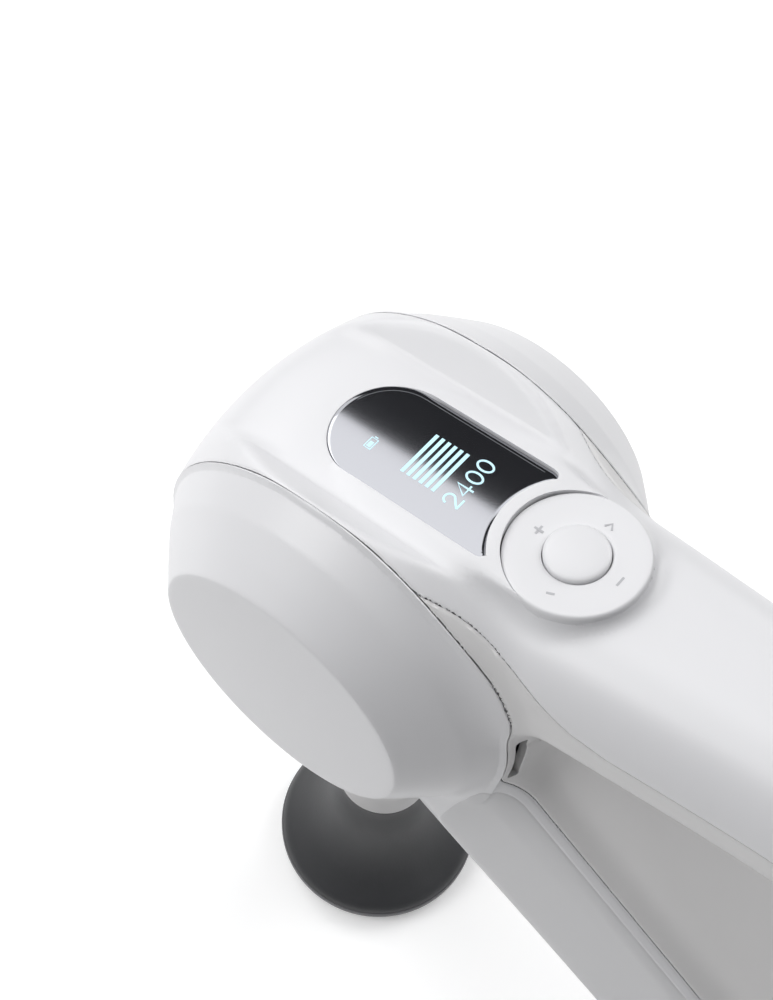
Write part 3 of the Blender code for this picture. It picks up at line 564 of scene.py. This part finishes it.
# ---------------------------------------------------------------- finishes
def finish_kind(name, color, rough, metallic=0.0, grain=0.0, grain_size=0.0004, vary=0.05,
                tint=0.03, coat=0.0, emission=None, strength=0.0, brushed=None):
    """A procedural finish: fine grain in the surface, uneven gloss and a little tone drift."""
    made = bpy.data.materials.new(name)
    made.use_nodes = True
    tree = made.node_tree
    shader = tree.nodes["Principled BSDF"]
    shader.inputs["Metallic"].default_value = metallic
    shader.inputs["IOR"].default_value = 1.5
    shader.inputs["Coat Weight"].default_value = coat
    shader.inputs["Coat Roughness"].default_value = 0.15
    if emission:
        shader.inputs["Emission Color"].default_value = (*emission, 1.0)
        shader.inputs["Emission Strength"].default_value = strength
    spot = tree.nodes.new("ShaderNodeTexCoord")
    drift = tree.nodes.new("ShaderNodeTexNoise")
    drift.inputs["Scale"].default_value = 38.0
    drift.inputs["Detail"].default_value = 4.0
    tree.links.new(spot.outputs["Object"], drift.inputs["Vector"])
    gloss = tree.nodes.new("ShaderNodeMapRange")
    gloss.inputs["To Min"].default_value = max(rough - vary, 0.02)
    gloss.inputs["To Max"].default_value = rough + vary
    tree.links.new(drift.outputs["Fac"], gloss.inputs["Value"])
    tree.links.new(gloss.outputs["Result"], shader.inputs["Roughness"])
    mix = tree.nodes.new("ShaderNodeMix")
    mix.data_type = "RGBA"
    mix.inputs["A"].default_value = (*[c * (1 - tint) for c in color], 1.0)
    mix.inputs["B"].default_value = (*[min(c * (1 + tint), 1.0) for c in color], 1.0)
    tree.links.new(drift.outputs["Fac"], mix.inputs["Factor"])
    tree.links.new(mix.outputs["Result"], shader.inputs["Base Color"])
    if grain:
        fine = tree.nodes.new("ShaderNodeTexNoise")
        fine.inputs["Scale"].default_value = 1.0 / grain_size
        fine.inputs["Detail"].default_value = 2.0
        source = spot.outputs["Object"]
        if brushed:
            stretch = tree.nodes.new("ShaderNodeMapping")
            stretch.inputs["Scale"].default_value = brushed
            tree.links.new(source, stretch.inputs["Vector"])
            source = stretch.outputs["Vector"]
        tree.links.new(source, fine.inputs["Vector"])
        bump = tree.nodes.new("ShaderNodeBump")
        bump.inputs["Strength"].default_value = grain
        bump.inputs["Distance"].default_value = 0.00005
        tree.links.new(fine.outputs["Fac"], bump.inputs["Height"])
        tree.links.new(bump.outputs["Normal"], shader.inputs["Normal"])
    return made


FINISH = {
    "white_shell": finish_kind("white_shell", (0.67, 0.67, 0.685), 0.34, grain=0.10, tint=0.01),
    "pale_shell": finish_kind("pale_shell", (0.64, 0.635, 0.635), 0.38, grain=0.12, tint=0.01),
    "grip": finish_kind("grip", (0.60, 0.60, 0.61), 0.52, grain=0.35, grain_size=0.0005,
                        tint=0.02),
    "display_cover": finish_kind("display_cover", (0.38, 0.385, 0.41), 0.05, metallic=1.0,
                                 vary=0.015, tint=0.01),
    "display_panel": finish_kind("display_panel", (0.01, 0.011, 0.014), 0.3, tint=0.1),
    "circuit_board": finish_kind("circuit_board", (0.05, 0.22, 0.12), 0.5, grain=0.2, tint=0.2),
    "keys": finish_kind("keys", (0.67, 0.67, 0.685), 0.36, grain=0.10, tint=0.01),
    "soft_rubber": finish_kind("soft_rubber", (0.62, 0.62, 0.64), 0.7, grain=0.3, tint=0.04),
    "black_rubber": finish_kind("black_rubber", (0.035, 0.036, 0.04), 0.65, grain=0.4, tint=0.1),
    "spring_steel": finish_kind("spring_steel", (0.58, 0.59, 0.61), 0.22, 1.0, grain=0.2),
    "steel": finish_kind("steel", (0.55, 0.56, 0.58), 0.28, 1.0, grain=0.5, tint=0.05,
                         brushed=(0.1, 0.1, 1.0)),
    "alloy": finish_kind("alloy", (0.72, 0.73, 0.75), 0.38, 1.0, grain=0.5, tint=0.05),
    "copper_windings": finish_kind("copper_windings", (0.72, 0.40, 0.22), 0.35, 0.9, grain=1.0,
                                   tint=0.15, brushed=(0.1, 1.0, 1.0)),
    "magnets": finish_kind("magnets", (0.035, 0.036, 0.04), 0.5, 0.5, grain=0.3, tint=0.2),
    "bushing": finish_kind("bushing", (0.72, 0.55, 0.25), 0.35, 1.0, grain=0.6, tint=0.1),
    "dark_foam": finish_kind("dark_foam", (0.040, 0.041, 0.044), 0.42, grain=0.5,
                             grain_size=0.0006, tint=0.08),
    "dark_plastic": finish_kind("dark_plastic", (0.035, 0.036, 0.04), 0.45, grain=0.25,
                                tint=0.08),
    "cell_sleeve": finish_kind("cell_sleeve", (0.10, 0.22, 0.45), 0.3, coat=0.5, tint=0.05),
}
MARKS = finish_kind("printed_marks", (0.42, 0.42, 0.44), 0.5, tint=0.04)
LIGHT = finish_kind("lit_symbols", (0.10, 0.15, 0.17), 0.5, tint=0.02,
                    emission=(0.60, 0.90, 1.0), strength=0.95)
TRIM = finish_kind("display_trim", (0.10, 0.105, 0.115), 0.2, tint=0.05)
HEAD_RIM = finish_kind("head_rim", (0.10, 0.10, 0.108), 0.45, grain=0.3, tint=0.06)

SLOT_OF = {part["node"]: part["material_slot"] for part in frame["record"]["subparts"]}
for node, thing in frame["nodes"].items():
    thing.data.materials.clear()
    thing.data.materials.append(FINISH[SLOT_OF[node]])


def dress(thing, slot, body_name, *nodes, finish=None):
    """Gives a piece its finish and body, and hides the CAD nodes it stands for."""
    thing.data.materials.clear()
    thing.data.materials.append(finish or FINISH[slot])
    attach(thing, body_name)
    if nodes:
        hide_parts(*nodes)
    return thing


# ---------------------------------------------------------------- the housing
points, faces = surface(SKIN_LOW, SKIN_HIGH, PITCH)
for level in (CAP[1][0], CAP[2][0]):
    points, faces = cut(points, faces, lambda p, y=level: np.abs(p[:, 1]) - y)
points, faces = cut(points, faces, rim_field)
for field in (cover_field, frame_field, grip_field, top_field, hole_field):
    for level in ((-BEVEL, 0.0, BEVEL) if field is grip_field else (-BEVEL, -GAP, GAP, BEVEL)):
        points, faces = cut(points, faces, field, level)
normals = outward(points)

# The skin sinks a little towards each seam, so that its edges read as moulded and not cut.
at_cover, at_frame, at_grip = cover_field(points), frame_field(points), grip_field(points)
at_top, at_hole = top_field(points), hole_field(points)
seam = np.abs(at_cover)
seam = np.minimum(seam, np.where(at_cover < 0.2, np.abs(at_frame), 9.0))
seam = np.minimum(seam, np.abs(at_grip) + OVERLAY_EASE)
seam = np.minimum(seam, np.abs(at_hole))
seam = np.minimum(seam, np.abs(at_top) + TOP_EASE)
soften = np.clip((BEVEL - seam) / (BEVEL - GAP), 0.0, 1.0) * EDGE_DROP
points = points - normals * soften[:, None]

middle = points[faces].mean(1)
in_cover, in_frame, in_grip = cover_field(middle), frame_field(middle), grip_field(middle)
open_here = np.maximum(top_field(middle), hole_field(middle)) > -GAP * 0.97
# Each triangle belongs to a row of PARTS, or to a seam or a hole, which is -1.
label = np.full(len(faces), -1)
label[(in_cover < -GAP) & (in_frame < -GAP)] = 0
label[(in_cover < -GAP) & (in_frame > GAP)] = 1
label[(in_cover > GAP) & (middle[:, 1] < 0)] = 2
label[(in_cover > GAP) & (middle[:, 1] > 0)] = 3
label[in_grip > 0.0] = 4
label[open_here] = -1
PARTS = (("outer_housing_shell", "white_shell", "outer_housing"),
         ("inner_frame_shell", "pale_shell", "inner_frame"),
         ("left_cover_shell", "white_shell", "left_side_cover"),
         ("right_cover_shell", "white_shell", "right_side_cover"),
         ("arm_overlay", "grip", "front_arm_grip"))
for number, (name, slot, node) in enumerate(PARTS):
    depth = OVERLAY_WALL if slot == "grip" else WALL
    dress(shell_piece(name, points, normals, faces[label == number], depth), slot, "housing", node)

# ---------------------------------------------------------------- display
def glass_loop(grow, height):
    """The window's outline at a height."""
    outline = glass_line(grow, 24)
    return np.column_stack((outline, np.full(len(outline), height)))


GLASS_EDGE = ((-0.05, 33.1), (0.05, 33.3), (0.05, 34.2), (0.02, 34.3), (-0.08, 34.36),
              (-0.25, 34.395), (-0.7, 34.4), (-0.95, 34.4))
glass = loops_mesh("display_glass_cover", [glass_loop(*edge) for edge in GLASS_EDGE], smooth=50.0)
dress(glass, "display_cover", "housing", "display_glass")
turn = np.radians(np.linspace(165, 90, 16))
far_edge = [(-2.3 + 9.75 * math.cos(a), 9.75 * math.sin(a)) for a in turn]
far_edge += [(x, 9.75) for x in np.linspace(0.0, 23.4, 12)]
dress(strip("display_border", far_edge, 0.16, 34.36, 34.415), "display_cover", "housing",
      finish=TRIM)
GLOW_LOW, GLOW_HIGH = 34.37, 34.43
for number in range(6):
    x = 4.35 + 1.33 * number
    bar = strip(f"level_bar_{number + 1}", [(x, -4.6), (x, 4.75)], 0.70, GLOW_LOW, GLOW_HIGH)
    dress(bar, "display_panel", "housing", finish=LIGHT)


def glyph(name, x, y, lines, width=0.40):
    """A digit or symbol drawn with strokes; across runs along +Y and up along -X."""
    for number, line in enumerate(lines):
        spots = [(x - v, y + u) for u, v in line]
        mark = strip(f"{name}_{number + 1}", spots, width, GLOW_LOW, GLOW_HIGH)
        dress(mark, "display_panel", "housing", finish=LIGHT)


ring_turn = np.radians(np.linspace(90, 450, 41))
zero = [(1.02 * math.cos(a), 1.55 * math.sin(a)) for a in ring_turn]
two = [(1.0 * math.cos(a) - 0.02, 0.62 + 0.98 * math.sin(a))
       for a in np.radians(np.linspace(172, -32, 18))]
two += [(0.35, -0.35), (-0.35, -0.95), (-0.95, -1.6), (-0.95, -1.6), (1.1, -1.6)]
four = [(0.45, -1.65), (0.45, 1.6), (-1.15, -0.75), (1.15, -0.75)]
glyph("digit_2", 14.9, -4.2, [two])
glyph("digit_4", 14.9, -1.25, [four])
glyph("digit_0a", 14.9, 1.7, [zero])
glyph("digit_0b", 14.9, 4.65, [zero])
battery = [(-1.3, -0.7), (1.0, -0.7), (1.0, 0.7), (-1.3, 0.7), (-1.3, -0.7)]
glyph("battery_icon", -3.6, -3.2, [battery, [(1.35, -0.28), (1.35, 0.28)]], 0.2)
glyph("battery_level", -3.6, -3.2, [[(-0.85, 0.0), (0.1, 0.0)]], 0.8)


# ---------------------------------------------------------------- pad and button
PAD_TOP = 34.28


def pad_height(x, y, r, z):
    """The pad's top: a dish whose rim shows at the front and fades to the rear."""
    if z < 33.0:
        return np.full_like(x, z)
    front = step((PAD[0] - x) / 12.15, -0.55, 0.75)
    sink = 0.22 + 0.22 * step(np.array(r), 11.0, 6.0)
    sink = sink * step(np.array(12.4 - r), 0.0, 0.7)
    return z - sink * front - (1 - front) * 0.28 * step(np.array(r), 12.0, 7.0)


rows = [(5.75, 31.9), (11.6, 31.9), (11.7, 31.15), (12.36, 31.15), (12.34, 33.2), (12.28, 33.75),
        (12.14, 34.04), (11.95, 34.2), (11.8, 34.26)]
rows += [(r, PAD_TOP) for r in (11.6, 11.4, 11.2, 11.0, 10.6, 10.0, 9.2, 8.4, 7.6, 6.8, 6.3)]
rows += [(5.95, 34.22), (5.78, 34.1), (5.75, 33.9)]
pad = turned("control_pad_disc", rows, 160, axis="pad", closed=True, shape=pad_height)
dress(pad, "keys", "control_pad", "control_pad")
dome = [(0.0, 29.0), (1.9, 29.0), (1.9, 31.6), (5.5, 31.6), (5.6, 31.8), (5.6, 34.2),
        (5.52, 34.45), (5.3, 34.66), (4.8, 34.84), (4.0, 35.0), (3.0, 35.13), (1.8, 35.22),
        (0.8, 35.26), (0.0, 35.27)]
button = turned("centre_button_dome", dome, 128, axis="pad")
dress(button, "keys", "centre_button", "centre_button")


def pad_mark(name, lines, width=0.42):
    """Printed symbols on the pad."""
    for number, line in enumerate(lines):
        heights = [float(pad_height(np.array([a]), np.array([b]),
                                    math.hypot(a - PAD[0], b), PAD_TOP)[0]) for a, b in line]
        mark = strip(f"{name}_{number + 1}", line, width, min(heights) - 0.15,
                     max(heights) + 0.04)
        dress(mark, "keys", "control_pad", finish=MARKS)


pad_mark("mark_plus", [[(28.7, 0.1), (30.3, 0.1)], [(29.5, -0.75), (29.5, 0.95)]])
pad_mark("mark_minus", [[(45.8, -0.95), (45.8, 0.85)]])
pad_mark("mark_forward", [[(37.5, 7.3), (38.3, 8.3), (38.9, 7.2)]], 0.36)
pad_mark("mark_back", [[(37.9, -8.9), (39.0, -8.4)]])

# ---------------------------------------------------------------- plunger and head
sleeve = [(14.0, 44.5), (14.0, 92.4), (13.8, 93.2), (13.2, 94.2), (11.7, 96.4), (11.2, 97.6),
          (11.0, 98.8), (11.0, 109.3), (10.75, 109.7), (8.6, 109.7), (8.6, 88.0), (10.9, 84.6),
          (10.9, 44.5)]
dress(turned("plunger_tube", sleeve, 144, closed=True), "pale_shell", "plunger",
      "plunger_sleeve")
collar = [(14.75, 60.35), (17.0, 60.35), (17.25, 60.6), (17.25, 61.9), (16.9, 62.35),
          (15.0, 62.35), (14.75, 62.1)]
dress(turned("nose_trim", collar, 144, closed=True), "pale_shell", "housing", "nose_ring")
outline = [(10.7, 110.0), (10.9, 110.3), (10.9, 118.0), (11.5, 124.0), (13.3, 130.0),
           (17.2, 136.0), (22.0, 141.0), (24.3, 143.0), (25.0, 144.6), (25.0, 146.4),
           (24.4, 148.3), (23.4, 149.6), (21.5, 150.0)]
outline = [(8.8, 135.7), (8.8, 110.0)] + smooth_line(outline) + [(0.0, 150.0)]
head = turned("attachment_head_foam", [(0.0, 139.3), (14.3, 139.3), (14.3, 135.7)] + outline,
              160)
dress(head, "dark_foam", "attachment", "attachment_head")
band = [(25.02, 144.4), (25.16, 144.7), (25.16, 146.2), (25.02, 146.5), (24.5, 146.5),
        (24.5, 144.4)]
dress(turned("attachment_rim", band, 160, closed=True), "dark_foam", "attachment",
      finish=HEAD_RIM)

# ---------------------------------------------------------------- floor, lights, camera
FLOOR_REACH, FLOOR_DROP = 3.0, 0.0002   # metres
floor_mesh = bpy.data.meshes.new("studio_floor")
floor_mesh.from_pydata([(FLOOR_REACH * a, FLOOR_REACH * b, -FLOOR_DROP)
                        for a, b in ((-1, -1), (1, -1), (1, 1), (-1, 1))], [], [(0, 1, 2, 3)])
floor = bpy.data.objects.new("studio_floor", floor_mesh)
bpy.context.scene.collection.objects.link(floor)
floor_mesh.materials.append(finish_kind("studio_white", (0.80, 0.80, 0.80), 0.9, tint=0.0,
                                        emission=(1.0, 1.0, 1.0), strength=0.30))

world = bpy.data.worlds.new("studio")
bpy.context.scene.world = world
world.use_nodes = True
background = world.node_tree.nodes["Background"]
background.inputs["Color"].default_value = (0.9, 0.92, 1.0, 1.0)
background.inputs["Strength"].default_value = 0.05


def softbox(name, centre, target, width, height, power, along=(1.0, 0.0, 0.0)):
    """An area lamp in the drum frame that faces a target, its width turned towards along."""
    data = bpy.data.lights.new(name, "AREA")
    data.shape = "RECTANGLE"
    data.size, data.size_y = width / 1000, height / 1000
    data.energy = power
    lamp = bpy.data.objects.new(name, data)
    bpy.context.scene.collection.objects.link(lamp)
    back = (Vector(centre) - Vector(target)).normalized()
    side = Vector(along)
    side = (side - back * side.dot(back)).normalized()
    top = back.cross(side)
    basis = [direction(v) for v in (side, top, back)]
    spot = to_row([centre])[0]
    lamp.matrix_world = Matrix(((basis[0].x, basis[1].x, basis[2].x, spot[0]),
                                (basis[0].y, basis[1].y, basis[2].y, spot[1]),
                                (basis[0].z, basis[1].z, basis[2].z, spot[2]),
                                (0.0, 0.0, 0.0, 1.0)))


softbox("overhead", (-230.0, -110.0, 640.0), (-230.0, -110.0, 0.0), 1000.0, 890.0, 5.0)
softbox("left_key", (-600.0, 120.0, 400.0), (0.0, 0.0, 0.0), 500.0, 600.0, 1.3,
        along=(0.0, 1.0, 0.0))
softbox("near_key", (-260.0, -430.0, 560.0), (0.0, -20.0, 0.0), 420.0, 380.0, 1.7)
softbox("far_fill", (260.0, 560.0, 330.0), (20.0, 0.0, 0.0), 500.0, 500.0, 2.6,
        along=(0.0, 1.0, 0.0))

camera_data = bpy.data.cameras.new("photo_camera")
camera_data.lens, camera_data.sensor_width, camera_data.sensor_fit = 59.6, 36.0, "AUTO"
camera_data.clip_start, camera_data.clip_end = 0.01, 20.0
camera = bpy.data.objects.new("photo_camera", camera_data)
bpy.context.scene.collection.objects.link(camera)
CAMERA_SPOT = (121.32, -124.46, 255.92)
right = direction((0.760, 0.647, -0.063))
down = direction((0.496, -0.640, -0.586))
ahead = right.cross(down).normalized()
right.normalize()
down = ahead.cross(right).normalized()
spot = to_row([CAMERA_SPOT])[0]
camera.matrix_world = Matrix(((right.x, -down.x, -ahead.x, spot[0]),
                              (right.y, -down.y, -ahead.y, spot[1]),
                              (right.z, -down.z, -ahead.z, spot[2]), (0.0, 0.0, 0.0, 1.0)))
scene = bpy.context.scene
scene.camera = camera
scene.view_settings.view_transform = "Standard"
scene.view_settings.look = "None"
